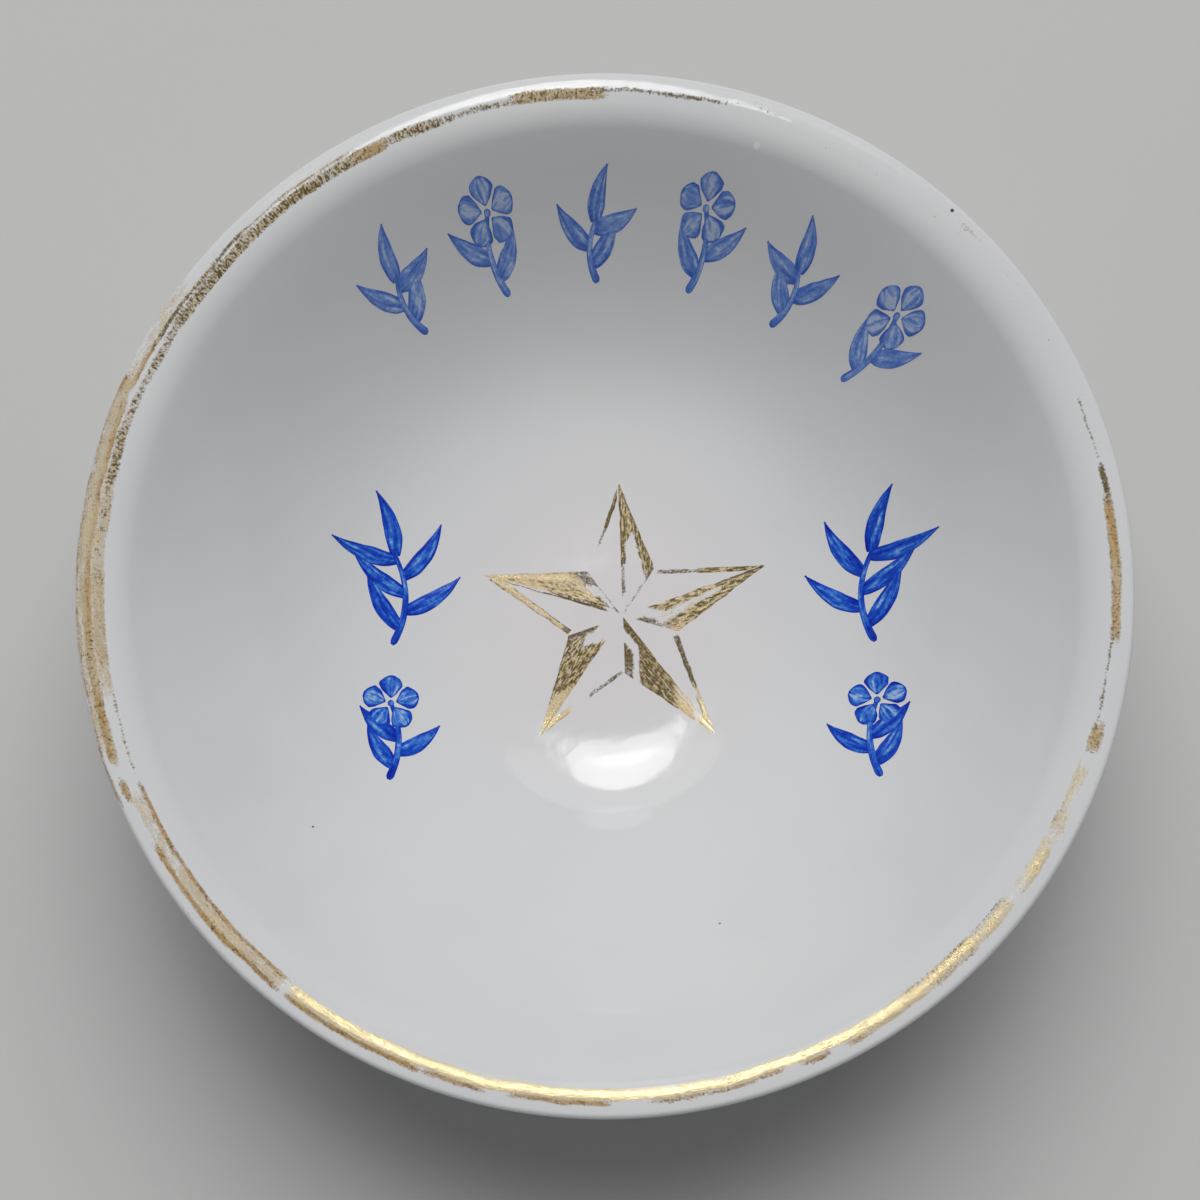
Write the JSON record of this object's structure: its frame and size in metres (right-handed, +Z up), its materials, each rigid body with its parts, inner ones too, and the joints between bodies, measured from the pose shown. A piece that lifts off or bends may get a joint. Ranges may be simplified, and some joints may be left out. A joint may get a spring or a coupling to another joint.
{
  "type": "sake cup",
  "caption": "Shallow flared porcelain sake cup on a foot ring, with a worn gilt lip, a gilt star in the well and blue sprigs on the wall.",
  "frame": {"origin": "middle of the circle that the foot ring stands on", "axes": "+Z up along the cup's axis, +Y towards the arc of blue motifs, +X to the right of the star seen from above"},
  "size_m": [0.076, 0.076, 0.0261],
  "materials": {
    "porcelain": "unglazed, matt",
    "clear_glaze": "glossy",
    "gilding": "worn, satin",
    "blue_enamel": "glossy"
  },
  "bodies": {
    "root": {"bowl_body": "porcelain", "foot_ring": "porcelain", "glaze_coat": "clear_glaze", "foot_recess_glaze": "clear_glaze", "gilt_rim_line": "gilding", "gilt_star_half_point_1": "gilding", "gilt_star_half_point_2": "gilding", "gilt_star_half_point_3": "gilding", "gilt_star_half_point_4": "gilding", "gilt_star_half_point_5": "gilding", "gilt_star_line_1": "gilding", "gilt_star_line_2": "gilding", "gilt_star_line_3": "gilding", "gilt_star_line_4": "gilding", "gilt_star_line_5": "gilding", "blue_motif_far_1": "blue_enamel", "blue_motif_far_2": "blue_enamel", "blue_motif_far_3": "blue_enamel", "blue_motif_far_4": "blue_enamel", "blue_motif_far_5": "blue_enamel", "blue_motif_far_6": "blue_enamel", "blue_motif_left_upper": "blue_enamel", "blue_motif_left_lower": "blue_enamel", "blue_motif_right_upper": "blue_enamel", "blue_motif_right_lower": "blue_enamel"}
  },
  "joints": []
}
